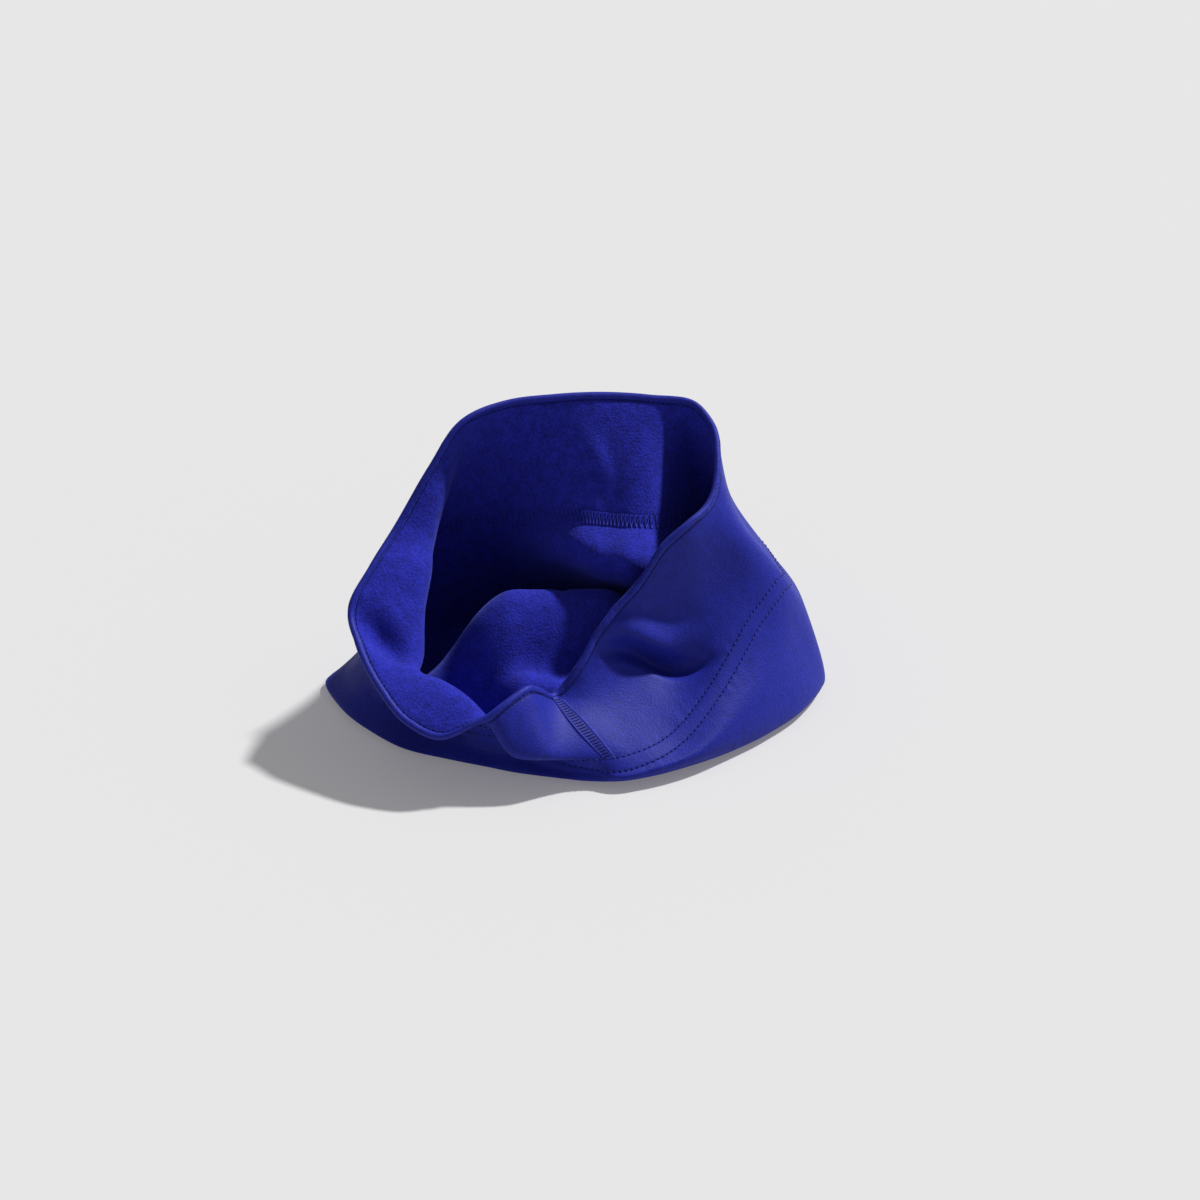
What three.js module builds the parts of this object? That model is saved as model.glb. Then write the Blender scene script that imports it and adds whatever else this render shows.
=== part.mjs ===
import * as THREE from 'three';

// A stretch-fleece skull cap lying on its folded crown, head opening up and to the front.
// Millimetres, +Z up. The origin is on the floor, in the middle of the box round the resting cap.
// The front is -Y and the cap's right, seen from the front, is +X.

// Driving sizes.
const CAP_WIDTH = 220;
const FRONT_REACH = 85;
const CAP_HEIGHT = 130;
const CLOTH = 1.5;
const GAP = 0.3;
const HEM_DEPTH = 3.4;
const HEM_THICKNESS = 2.8;
const LAP_WIDTH = 6.6;
const LAP_THICKNESS = 1.8;
const CLOSURE_WIDTH = 4.2;
const CLOSURE_THICKNESS = 1.9;
const EDGE_HEIGHT = 3;
const FOLD_WIDTH = 9;
const FOLD_DEPTH = 5;
const TUCK_HEIGHT = 58;
const TUCK_REACH = 48;

// How finely the cloth is divided.
const COLUMNS = 84;
const PROFILE_STEPS = 100;
const BAND_ROWS = 9;
const CROWN_WALL_ROWS = 6;
const CROWN_FLOOR_ROWS = 10;
const HEM_SIDES = 8;
const LAP_ROWS = 2;

// The cloth's sections, one row for each place around the rim, clockwise from the closure seam
// as seen from above the opening. Shares of half the width, the front reach and the height.
// The waist is the middle of the band, the shoulder is the crown's wall, and the foot is where
// the crown turns under on the floor.
const SECTIONS = [
  { place: 'closure notch', rim: [-0.10, -0.64, 0.24], waist: [0.02, -0.81, 0.18],
    seam: [0.15, -0.93, 0.08], shoulder: [0.16, -0.98, 0.05], foot: [0.14, -0.95] },
  { place: 'panel foot', rim: [0.00, -0.57, 0.32], waist: [0.13, -0.66, 0.20],
    seam: [0.27, -0.88, 0.09], shoulder: [0.30, -0.94, 0.06], foot: [0.28, -0.91] },
  { place: 'panel low', rim: [0.09, -0.46, 0.43], waist: [0.23, -0.49, 0.25],
    seam: [0.39, -0.76, 0.11], shoulder: [0.47, -0.83, 0.08], foot: [0.46, -0.80] },
  { place: 'panel middle', rim: [0.25, -0.36, 0.57], waist: [0.38, -0.36, 0.29],
    seam: [0.54, -0.54, 0.20], shoulder: [0.63, -0.63, 0.13], foot: [0.66, -0.63] },
  { place: 'panel high', rim: [0.34, -0.30, 0.68], waist: [0.49, -0.28, 0.42],
    seam: [0.63, -0.38, 0.28], shoulder: [0.74, -0.45, 0.17], foot: [0.78, -0.49] },
  { place: 'right front', rim: [0.44, -0.23, 0.74], waist: [0.58, -0.18, 0.52],
    seam: [0.71, -0.23, 0.36], shoulder: [0.82, -0.27, 0.21], foot: [0.90, -0.31] },
  { place: 'right side', rim: [0.51, -0.12, 0.765], waist: [0.65, -0.10, 0.61],
    seam: [0.80, -0.08, 0.42], shoulder: [0.88, -0.11, 0.23], foot: [0.98, -0.12] },
  { place: 'right back', rim: [0.56, 0.12, 0.87], waist: [0.64, 0.14, 0.64],
    seam: [0.83, 0.16, 0.40], shoulder: [0.93, 0.16, 0.25], foot: [0.98, 0.14] },
  { place: 'right corner', rim: [0.54, 0.31, 0.93], waist: [0.58, 0.33, 0.69],
    seam: [0.71, 0.40, 0.46], shoulder: [0.84, 0.47, 0.26], foot: [0.84, 0.45] },
  { place: 'corner bulge', rim: [0.48, 0.40, 0.97], waist: [0.49, 0.42, 0.72],
    seam: [0.55, 0.42, 0.52], shoulder: [0.64, 0.59, 0.29], foot: [0.62, 0.64] },
  { place: 'back bend', rim: [0.29, 0.45, 0.98], waist: [0.29, 0.24, 0.80],
    seam: [0.29, 0.05, 0.63], shoulder: [0.28, -0.14, 0.50], foot: [0.36, 0.73] },
  { place: 'back middle', rim: [0.13, 0.45, 0.99], waist: [0.14, 0.26, 0.81],
    seam: [0.13, 0.08, 0.63], shoulder: [0.13, -0.11, 0.50], foot: [0.13, 0.75] },
  { place: 'back left', rim: [-0.10, 0.40, 1.00], waist: [-0.09, 0.32, 0.80],
    seam: [-0.07, 0.19, 0.61], shoulder: [-0.07, 0.12, 0.47], foot: [-0.09, 0.73] },
  { place: 'left corner', rim: [-0.27, 0.34, 1.00], waist: [-0.28, 0.42, 0.76],
    seam: [-0.31, 0.44, 0.52], shoulder: [-0.32, 0.50, 0.32], foot: [-0.31, 0.66] },
  { place: 'left high', rim: [-0.45, 0.21, 0.97], waist: [-0.47, 0.36, 0.75],
    seam: [-0.57, 0.44, 0.47], shoulder: [-0.58, 0.45, 0.26], foot: [-0.58, 0.49] },
  { place: 'left upper', rim: [-0.585, 0.09, 0.83], waist: [-0.53, 0.17, 0.68],
    seam: [-0.66, 0.35, 0.40], shoulder: [-0.71, 0.38, 0.22], foot: [-0.73, 0.38] },
  { place: 'left middle', rim: [-0.72, -0.06, 0.66], waist: [-0.58, 0.01, 0.55],
    seam: [-0.73, 0.21, 0.31], shoulder: [-0.82, 0.26, 0.15], foot: [-0.86, 0.26] },
  { place: 'left lower', rim: [-0.815, -0.24, 0.57], waist: [-0.585, -0.13, 0.51],
    seam: [-0.76, 0.07, 0.25], shoulder: [-0.88, 0.12, 0.10], foot: [-0.97, 0.12] },
  { place: 'left tip', rim: [-0.89, -0.41, 0.48], waist: [-0.61, -0.29, 0.42],
    seam: [-0.78, -0.09, 0.20], shoulder: [-0.93, -0.04, 0.07], foot: [-1.02, -0.02] },
  { place: 'flap top', rim: [-0.865, -0.56, 0.41], waist: [-0.61, -0.44, 0.33],
    seam: [-0.78, -0.26, 0.16], shoulder: [-0.89, -0.21, 0.08], foot: [-0.96, -0.22] },
  { place: 'flap middle', rim: [-0.76, -0.80, 0.30], waist: [-0.61, -0.64, 0.31],
    seam: [-0.73, -0.40, 0.13], shoulder: [-0.78, -0.40, 0.07], foot: [-0.82, -0.48] },
  { place: 'flap low', rim: [-0.66, -0.94, 0.24], waist: [-0.52, -0.73, 0.31],
    seam: [-0.60, -0.49, 0.12], shoulder: [-0.65, -0.52, 0.06], foot: [-0.68, -0.65] },
  { place: 'rim lowest', rim: [-0.52, -1.02, 0.21], waist: [-0.43, -0.82, 0.29],
    seam: [-0.47, -0.63, 0.12], shoulder: [-0.49, -0.67, 0.07], foot: [-0.50, -0.75] },
  { place: 'front rise', rim: [-0.38, -0.99, 0.26], waist: [-0.35, -0.89, 0.24],
    seam: [-0.36, -0.78, 0.15], shoulder: [-0.35, -0.76, 0.07], foot: [-0.35, -0.82] },
  { place: 'front crest', rim: [-0.26, -0.90, 0.32], waist: [-0.24, -1.02, 0.15],
    seam: [-0.22, -0.82, 0.14], shoulder: [-0.22, -0.82, 0.07], foot: [-0.22, -0.88] },
  { place: 'crest end', rim: [-0.18, -0.79, 0.33], waist: [-0.12, -1.01, 0.15],
    seam: [-0.08, -0.88, 0.09], shoulder: [-0.07, -0.89, 0.05], foot: [-0.08, -0.92] },
  { place: 'beside notch', rim: [-0.14, -0.71, 0.29], waist: [-0.05, -0.94, 0.15],
    seam: [0.05, -0.92, 0.08], shoulder: [0.06, -0.93, 0.05], foot: [0.04, -0.95] },
];

// The crown's middle, where all sections end, as shares like those of a section.
const MIDDLE = [-0.06, -0.115, 0];
// Where each level of a section lies on the way from the rim to the middle of the crown.
const LEVELS = { rim: 0, waist: 0.14, seam: 0.28, shoulder: 0.42, foot: 0.56, middle: 1 };

// The smaller folds. Each is a soft ridge, shaped like a lens, round a line on the cloth. The line's
// ends are a turn, as a share of the rim's length, and a drop, as a share of the way to the crown's
// middle. Width and push are shares of the fold width and depth. A push below zero is a dent.
const FOLDS = [
  { name: 'panel ridge', from: [0.080, 0.026], to: [0.136, 0.160], width: 1.1, push: 1.1 },
  { name: 'panel dent', from: [0.062, 0.050], to: [0.134, 0.220], width: 0.85, push: -1.1 },
  { name: 'back wrinkle', from: [0.415, 0.095], to: [0.398, 0.190], width: 0.8, push: -0.25 },
  { name: 'left pocket', from: [0.720, 0.020], to: [0.772, 0.085], width: 1.1, push: 1.2 },
];

// The tucks: the crown's floor is pushed up into the cap along lines. The ends of a line are shares
// of half the width and the front reach. Side, front and rear say how far the rise spreads past the
// line, as shares of the tuck reach, and height is a share of the tuck height.
const TUCKS = [
  { name: 'mound', from: [-0.24, -0.12], to: [0.12, -0.11],
    side: 0.90, front: 1.00, rear: 0.62, height: 0.94 },
  { name: 'left slope', from: [-0.56, -0.28], to: [-0.40, -0.20],
    side: 0.60, front: 0.80, rear: 0.70, height: 0.30 },
  { name: 'ruck', from: [-0.20, -0.52], to: [0.10, -0.57],
    side: 0.45, front: 0.45, rear: 0.34, height: 0.38 },
];

// How much of the way to the middle the crown's edge takes to come down onto the floor.
const EDGE_RUN = 0.12;
// How much of that way the tucks take to begin.
const TUCK_RUN = 0.30;

const SHEET_SIZES = [CAP_WIDTH / 2, FRONT_REACH, CAP_HEIGHT];
// Below this, a length counts as none.
const NO_LENGTH = 1e-6;
const FABRIC_COLOUR = 0x1b2a94;
const FLEECE_COLOUR = 0x1c2878;
const TRIM_COLOUR = 0x2434a0;
const SMOOTH = 0.6;
const BRUSHED = 0.8;

function placed(shares) {
  return shares.map((share, axis) => share * SHEET_SIZES[axis]);
}

function distance(a, b) {
  return Math.hypot(a[0] - b[0], a[1] - b[1], a[2] - b[2]);
}

function mix(a, b, share) {
  return a.map((value, axis) => value * (1 - share) + b[axis] * share);
}

function moved(point, direction, length) {
  return point.map((value, axis) => value + direction[axis] * length);
}

// A soft bump: 1 at 0, falling to 0 at 1 and beyond.
function bump(reach) {
  return 0.5 + 0.5 * Math.cos(Math.PI * Math.min(Math.abs(reach), 1));
}

// A smooth line through points at uneven knots. Its first and last points only set the slope.
function through(knots, points, at) {
  let i = 1;
  while (i < knots.length - 3 && at >= knots[i + 1]) i += 1;
  const slope = (k) => {
    const before = knots[k] - knots[k - 1];
    const after = knots[k + 1] - knots[k];
    const weight = after / (before + after);
    return points[k].map((value, axis) => (
      weight * (value - points[k - 1][axis]) / before
      + (1 - weight) * (points[k + 1][axis] - value) / after));
  };
  const span = knots[i + 1] - knots[i];
  const t = (at - knots[i]) / span;
  const start = slope(i);
  const end = slope(i + 1);
  return points[i].map((value, axis) => (
    (2 * t ** 3 - 3 * t ** 2 + 1) * value
    + (t ** 3 - 2 * t ** 2 + t) * span * start[axis]
    + (3 * t ** 2 - 2 * t ** 3) * points[i + 1][axis]
    + (t ** 3 - t ** 2) * span * end[axis]));
}

const CROWN_MIDDLE = placed(MIDDLE);
// The levels as loops of placed points, and the turn of each section by the rim's length.
const LOOPS = {
  rim: SECTIONS.map((row) => placed(row.rim)),
  waist: SECTIONS.map((row) => placed(row.waist)),
  seam: SECTIONS.map((row) => placed(row.seam)),
  shoulder: SECTIONS.map((row) => placed(row.shoulder)),
  foot: SECTIONS.map((row) => [...placed(row.foot), EDGE_HEIGHT]),
};
const RIM_STEPS = LOOPS.rim.map((point, i) => distance(point, LOOPS.rim[(i + 1) % LOOPS.rim.length]));
const RIM_LENGTH = RIM_STEPS.reduce((sum, step) => sum + step, 0);
const TURNS = [];
RIM_STEPS.reduce((sum, step) => {
  TURNS.push(sum / RIM_LENGTH);
  return sum + step;
}, 0);

function loopAt(loop, turn) {
  const last = loop.length - 1;
  const knots = [TURNS[last - 1] - 1, TURNS[last] - 1, ...TURNS, 1, 1 + TURNS[1]];
  const points = [loop[last - 1], loop[last], ...loop, loop[0], loop[1]];
  return through(knots, points, turn);
}

// One profile of the outer surface, from the rim to the crown's middle, before the small folds.
function profile(turn) {
  const places = Object.keys(LOOPS).map((name) => loopAt(LOOPS[name], turn));
  const levels = Object.values(LEVELS);
  const knots = [LEVELS.rim - LEVELS.waist, ...levels, 2 * LEVELS.middle - LEVELS.foot];
  const first = places[0].map((value, axis) => 2 * value - places[1][axis]);
  const foot = places[places.length - 1];
  const beyond = CROWN_MIDDLE.map((value, axis) => 2 * value - foot[axis]);
  const points = [first, ...places, CROWN_MIDDLE, beyond];
  const line = [];
  for (let step = 0; step <= PROFILE_STEPS; step += 1) {
    const drop = step / PROFILE_STEPS;
    if (drop <= LEVELS.foot) {
      line.push(through(knots, points, drop));
    } else {
      const under = (drop - LEVELS.foot) / (1 - LEVELS.foot);
      const point = mix(foot, CROWN_MIDDLE, under);
      point[2] = EDGE_HEIGHT * Math.max(0, 1 - under / EDGE_RUN);
      line.push(point);
    }
  }
  return line;
}

// How far a place on the cloth is from the middle of a fold: 1 at the edge of the lens.
function foldReach(fold, turn, drop) {
  const size = [RIM_LENGTH, CLOTH_REACH];
  const middle = fold.from.map((share, k) => (share + fold.to[k]) / 2 * size[k]);
  const half = fold.to.map((share, k) => (share - fold.from[k]) / 2 * size[k]);
  const length = Math.hypot(...half);
  const width = fold.width * FOLD_WIDTH;
  const here = [turn * size[0] - middle[0], drop * size[1] - middle[1]];
  if (here[0] > RIM_LENGTH / 2) here[0] -= RIM_LENGTH;
  const along = (here[0] * half[0] + here[1] * half[1]) / length;
  const across = (here[1] * half[0] - here[0] * half[1]) / length;
  return Math.hypot(along / (length + width), across / width);
}

// How far the tucks lift a point of the crown's floor. Where they meet, they blend into each other.
function tuckRise(point) {
  const level = TUCKS.reduce((product, tuck) => {
    const from = placed(tuck.from);
    const line = placed(tuck.to).map((value, axis) => value - from[axis]);
    const here = from.map((value, axis) => point[axis] - value);
    const along = (here[0] * line[0] + here[1] * line[1]) / (line[0] ** 2 + line[1] ** 2);
    const nearest = Math.min(Math.max(along, 0), 1);
    const off = here.map((value, axis) => value - nearest * line[axis]);
    const depth = off[1] < 0 ? tuck.front : tuck.rear;
    const reach = Math.hypot(off[0] / tuck.side, off[1] / depth) / TUCK_REACH;
    return product * (1 - tuck.height * bump(reach));
  }, 1);
  return TUCK_HEIGHT * (1 - level);
}

// Outward directions on a grid of columns and steps.
function directions(grid) {
  const count = grid.length;
  return grid.map((line, c) => line.map((point, s) => {
    const right = new THREE.Vector3(...grid[(c + 1) % count][s]);
    const left = new THREE.Vector3(...grid[(c + count - 1) % count][s]);
    const down = new THREE.Vector3(...line[Math.min(s + 1, line.length - 1)]);
    const up = new THREE.Vector3(...line[Math.max(s - 1, 0)]);
    const out = down.sub(up).cross(right.sub(left));
    return out.length() > NO_LENGTH ? out.normalize().toArray() : [0, 0, -1];
  }));
}

// The columns: the closure seam's middle, its edges with their gap, and even steps between.
const CLOSURE_HALF = CLOSURE_WIDTH / 2 / RIM_LENGTH;
const CLOSURE_EDGE = CLOSURE_HALF + GAP / RIM_LENGTH;
const columnTurns = [0, CLOSURE_HALF, CLOSURE_EDGE];
for (let column = 1; column < COLUMNS; column += 1) columnTurns.push(column / COLUMNS);
columnTurns.push(1 - CLOSURE_EDGE, 1 - CLOSURE_HALF);
const FIRST_BAND_COLUMN = 2;

const plainGrid = columnTurns.map(profile);
function lineLength(line) {
  return line.slice(1).reduce((sum, point, k) => sum + distance(point, line[k]), 0);
}
// The usual length of cloth from the rim to the crown's middle.
const CLOTH_REACH = plainGrid.reduce((sum, line) => sum + lineLength(line), 0) / plainGrid.length;

const plainOut = directions(plainGrid);
const outerGrid = plainGrid.map((line, c) => line.map((point, s) => {
  const drop = s / PROFILE_STEPS;
  let result = point;
  FOLDS.forEach((fold) => {
    const rise = fold.push * FOLD_DEPTH * bump(foldReach(fold, columnTurns[c], drop));
    result = moved(result, plainOut[c][s], rise);
  });
  if (drop > LEVELS.foot) {
    const under = (drop - LEVELS.foot) / (1 - LEVELS.foot);
    const begun = 1 - bump(under / TUCK_RUN);
    result = [result[0], result[1], result[2] + begun * tuckRise(result)];
  }
  return result;
}));
const outDirections = directions(outerGrid);

// For each column, the length of cloth from the rim down to each step.
const lengths = outerGrid.map((line) => {
  const sums = [0];
  line.slice(1).forEach((point, k) => sums.push(sums[k] + distance(point, line[k])));
  return sums;
});
const SEAM_STEP = Math.round(LEVELS.seam * PROFILE_STEPS);
const FOOT_STEP = Math.round(LEVELS.foot * PROFILE_STEPS);

// Where a length of cloth from the rim falls in a column: the step above it and the share past it.
function stepAt(column, length) {
  const sums = lengths[column];
  let step = 0;
  while (step < PROFILE_STEPS - 1 && sums[step + 1] < length) step += 1;
  return [step, Math.min((length - sums[step]) / (sums[step + 1] - sums[step]), 1)];
}

// A place on the cloth: its column, the length of cloth from the rim and the height off the surface,
// which is measured square to the surface at the given length.
function clothPoint(column, length, rise, squareAt = length) {
  const [step, share] = stepAt(column, length);
  const point = mix(outerGrid[column][step], outerGrid[column][step + 1], share);
  const [outStep, outShare] = stepAt(column, squareAt);
  const out = mix(outDirections[column][outStep], outDirections[column][outStep + 1], outShare);
  return moved(point, out, rise / Math.hypot(...out));
}

function seamLength(column) {
  return lengths[column][SEAM_STEP];
}

// Collects triangles, leaving out those that have no area.
function addTriangle(positions, a, b, c) {
  if (Math.min(distance(a, b), distance(b, c), distance(c, a)) > NO_LENGTH) {
    positions.push(...a, ...b, ...c);
  }
}

// Joins two neighbouring outlines. The outer and inner halves are split along the same diagonals,
// so that a wall keeps its thickness and facing edges of two pieces stay parallel.
function joinOutlines(positions, here, next, leftOut) {
  const sides = here.length;
  for (let k = 0; k < sides; k += 1) {
    const m = (k + 1) % sides;
    if (k !== leftOut && k < sides / 2) {
      addTriangle(positions, here[k], here[m], next[m]);
      addTriangle(positions, here[k], next[m], next[k]);
    } else if (k !== leftOut) {
      addTriangle(positions, here[k], here[m], next[k]);
      addTriangle(positions, here[m], next[m], next[k]);
    }
  }
}

// Fills a wall's outline at an open end, between its outer half and its inner half.
function addEnd(positions, outline, flip) {
  const last = outline.length - 1;
  for (let k = 0; k < last / 2 - 1; k += 1) {
    const corners = [outline[k], outline[k + 1], outline[last - 1 - k], outline[last - k]];
    if (flip) corners.reverse();
    addTriangle(positions, corners[0], corners[1], corners[2]);
    addTriangle(positions, corners[0], corners[2], corners[3]);
  }
}

// A ring of outlines. One side of each outline may be left out, where two points are shared by all.
function ringBody(outlines, leftOut = -1) {
  const positions = [];
  outlines.forEach((here, c) => {
    joinOutlines(positions, here, outlines[(c + 1) % outlines.length], leftOut);
  });
  return facingOut(positions);
}

// A strip of outlines with a flat end at its first and last one.
function stripBody(outlines) {
  const positions = [];
  outlines.slice(1).forEach((next, c) => joinOutlines(positions, outlines[c], next, -1));
  addEnd(positions, outlines[0], true);
  addEnd(positions, outlines[outlines.length - 1], false);
  return facingOut(positions);
}

// Turns every triangle over if the body's volume came out below zero.
function facingOut(positions) {
  const corner = (k) => new THREE.Vector3(...positions.slice(3 * k, 3 * k + 3));
  let volume = 0;
  for (let k = 0; k < positions.length / 3; k += 3) {
    volume += corner(k).dot(corner(k + 1).cross(corner(k + 2)));
  }
  if (volume < 0) {
    for (let k = 0; k < positions.length; k += 9) {
      const second = positions.slice(k + 3, k + 6);
      positions.splice(k + 3, 3, ...positions.slice(k + 6, k + 9));
      positions.splice(k + 6, 3, ...second);
    }
  }
  const geometry = new THREE.BufferGeometry();
  geometry.setAttribute('position', new THREE.Float32BufferAttribute(positions, 3));
  geometry.computeVertexNormals();
  return geometry;
}

// Even lengths of cloth from one to another.
function evenRows(from, to, rows) {
  return Array.from({ length: rows + 1 }, (unused, row) => from + (to - from) * row / rows);
}

// A wall's outline at one column: down the outer face and back up the inner one. Its two edges are
// square to the cloth in the middle of the gap beside them, so that facing edges stay parallel.
function wallOutline(column, rows, outerRise, innerRise) {
  const face = (rise) => rows.map((length, row) => {
    if (row === 0) return clothPoint(column, length, rise, length - GAP / 2);
    if (row === rows.length - 1) return clothPoint(column, length, rise, length + GAP / 2);
    return clothPoint(column, length, rise);
  });
  return [...face(outerRise), ...face(innerRise).reverse()];
}

const ALL_COLUMNS = columnTurns.map((turn, column) => column);
const BAND_COLUMNS = ALL_COLUMNS.slice(FIRST_BAND_COLUMN, ALL_COLUMNS.length - 1);
const CLOSURE_COLUMNS = [ALL_COLUMNS.length - 1, 0, 1];

// The band, open at the closure seam.
function bandShape() {
  const outlines = BAND_COLUMNS.map((column) => {
    const to = seamLength(column) - LAP_WIDTH / 2 - GAP;
    return wallOutline(column, evenRows(HEM_DEPTH + GAP, to, BAND_ROWS), 0, -CLOTH);
  });
  return stripBody(outlines);
}

// The crown, from the lap to its middle, where its outer and inner faces each end in one point.
// One of its rows lies along the foot, where it turns under.
const MIDDLE_ROW = CROWN_WALL_ROWS + CROWN_FLOOR_ROWS;
function crownShape() {
  const middle = outerGrid[0][PROFILE_STEPS];
  const outlines = ALL_COLUMNS.map((column) => {
    const from = seamLength(column) + LAP_WIDTH / 2 + GAP;
    const foot = lengths[column][FOOT_STEP];
    const to = lengths[column][PROFILE_STEPS];
    const wall = evenRows(from, foot, CROWN_WALL_ROWS);
    const floor = evenRows(foot, to, CROWN_FLOOR_ROWS).slice(1);
    const outline = wallOutline(column, [...wall, ...floor], 0, -CLOTH);
    outline[MIDDLE_ROW] = middle;
    outline[MIDDLE_ROW + 1] = moved(middle, [0, 0, 1], CLOTH);
    return outline;
  });
  return ringBody(outlines, MIDDLE_ROW);
}

// The rolled hem: a bead round the rim, as deep as the hem and a little thicker than the cloth.
function hemShape() {
  const outlines = ALL_COLUMNS.map((column) => (
    Array.from({ length: HEM_SIDES }, (unused, side) => {
      const angle = (side + 0.5) * 2 * Math.PI / HEM_SIDES;
      const round = 1 / Math.cos(Math.PI / HEM_SIDES);
      const along = HEM_DEPTH / 2 * (1 + Math.cos(angle) * round);
      return clothPoint(column, along, -CLOTH / 2 + HEM_THICKNESS / 2 * Math.sin(angle) * round);
    })));
  return ringBody(outlines);
}

// The lap between band and crown, a flat ring a little thicker than the cloth.
function lapShape() {
  const proud = (LAP_THICKNESS - CLOTH) / 2;
  const outlines = ALL_COLUMNS.map((column) => {
    const from = seamLength(column) - LAP_WIDTH / 2;
    return wallOutline(column, evenRows(from, from + LAP_WIDTH, LAP_ROWS), proud, -CLOTH - proud);
  });
  return ringBody(outlines);
}

// The flatlocked strip that closes the band.
function closureShape() {
  const proud = (CLOSURE_THICKNESS - CLOTH) / 2;
  const outlines = CLOSURE_COLUMNS.map((column) => {
    const to = seamLength(column) - LAP_WIDTH / 2 - GAP;
    return wallOutline(column, evenRows(HEM_DEPTH + GAP, to, BAND_ROWS), proud, -CLOTH - proud);
  });
  return stripBody(outlines);
}

function piece(name, geometry, color, roughness) {
  const material = new THREE.MeshStandardMaterial({ color, roughness, metalness: 0 });
  const mesh = new THREE.Mesh(geometry, material);
  mesh.name = name;
  return mesh;
}

const cap = new THREE.Group();
cap.name = 'skull_cap';
cap.add(piece('band', bandShape(), FABRIC_COLOUR, SMOOTH));
cap.add(piece('crown', crownShape(), FLEECE_COLOUR, BRUSHED));
cap.add(piece('rim_hem', hemShape(), TRIM_COLOUR, SMOOTH));
cap.add(piece('crown_lap', lapShape(), TRIM_COLOUR, SMOOTH));
cap.add(piece('closure_seam', closureShape(), TRIM_COLOUR, SMOOTH));

// Brings the middle of the cap's box over the origin and its lowest point onto the floor.
const box = new THREE.Box3().setFromObject(cap);
const shift = box.getCenter(new THREE.Vector3()).setZ(box.min.z).negate();
cap.children.forEach((mesh) => mesh.geometry.translate(shift.x, shift.y, shift.z));

export default cap;
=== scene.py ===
import math

import bpy
import numpy as np
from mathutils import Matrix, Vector


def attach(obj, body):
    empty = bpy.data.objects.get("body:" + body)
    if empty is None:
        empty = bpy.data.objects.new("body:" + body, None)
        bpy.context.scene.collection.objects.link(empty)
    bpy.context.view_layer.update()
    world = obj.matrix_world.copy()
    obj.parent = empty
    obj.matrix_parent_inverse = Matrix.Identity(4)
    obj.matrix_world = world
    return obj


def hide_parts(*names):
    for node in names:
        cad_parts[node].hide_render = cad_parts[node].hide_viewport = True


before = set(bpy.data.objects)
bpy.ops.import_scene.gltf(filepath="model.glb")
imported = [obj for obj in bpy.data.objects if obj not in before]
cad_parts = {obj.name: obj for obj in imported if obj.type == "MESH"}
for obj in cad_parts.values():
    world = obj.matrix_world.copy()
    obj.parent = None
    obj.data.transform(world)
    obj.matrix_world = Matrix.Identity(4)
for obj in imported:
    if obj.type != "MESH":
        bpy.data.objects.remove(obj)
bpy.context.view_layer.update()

# Sizes of the cap.
CAP_WIDTH = 0.220
FRONT_REACH = 0.085
CAP_HEIGHT = 0.130
SHEET_SIZES = np.array([CAP_WIDTH / 2, FRONT_REACH, CAP_HEIGHT])
SHEET_SHIFT = np.array([0.00074, 0.01172, 0.0])  # brings the sheet's middle over the part's origin
CLOTH = 0.0015
HEM_DEPTH = 0.0034
HEM_THICKNESS = 0.0029
LAP_WIDTH = 0.0066
LAP_THICKNESS = 0.0018
CLOSURE_WIDTH = 0.0042
CLOSURE_THICKNESS = 0.0019
JOIN = 0.00012  # the fine line left between the band and the closure
UNDER_HEM = 0.0008  # how far the cloth goes in under the hem
UNDER_LAP = 0.0004  # how far the cloth goes in under the lap
LAP_INSET = 0.0002  # how far the lap's edges stop short of the needle rows
EDGE_HEIGHT = 0.0030  # how high the foot's edge stands over the floor
FOLD_WIDTH = 0.009
FOLD_DEPTH = 0.005
TUCK_HEIGHT = 0.058
TUCK_REACH = 0.048

# Relief of the cloth beside its seams: how deep it dips, and over what run that fades.
HEM_DIP = 0.00040
HEM_DIP_RUN = 0.0008
LAP_DIP = 0.00018
LAP_DIP_RUN = 0.0009
LAP_EDGE_DIP = 0.00020
LAP_EDGE_RUN = 0.0007
PUCKER_HEIGHT = 0.00010
PUCKER_PITCH = 0.0065
PUCKER_RUN = 0.004
HEM_PUCKER = 0.03  # a share of the hem's size
HEM_PUCKER_PITCH = 0.0052

# Stitches: radius of each thread, then pitches, and the rise of each thread off the cloth.
THREAD = 0.00022
NEEDLE_THREAD = THREAD * 1.45
LADDER_THREAD = THREAD * 1.1
CROSS_THREAD = THREAD * 0.9
HEM_THREAD = THREAD * 0.8
STITCH = 0.0025
NEEDLE_SHARES = np.linspace(0.16, 0.84, 5)
NEEDLE_RISES = np.array([-0.00045, 0.00002, 0.00014, 0.00002, -0.00045])
LADDER_PITCH = 0.0021
LADDER_RISE = 0.00020
SEAM_TO_RIM = 1.15  # the ladder's number of threads follows the seam, which is longer than the rim
CROSS_PITCH = 0.0015
CROSS_RISE = 0.00012
CROSS_SLANT = 0.0003
CROSS_END = 0.0008  # left bare at both ends of the closure
HEM_STITCH = 0.0022
HEM_STITCH_SHARES = np.linspace(0.12, 0.88, 4)
GROOVE = 0.0004  # from the hem's edge to its stitches

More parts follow.
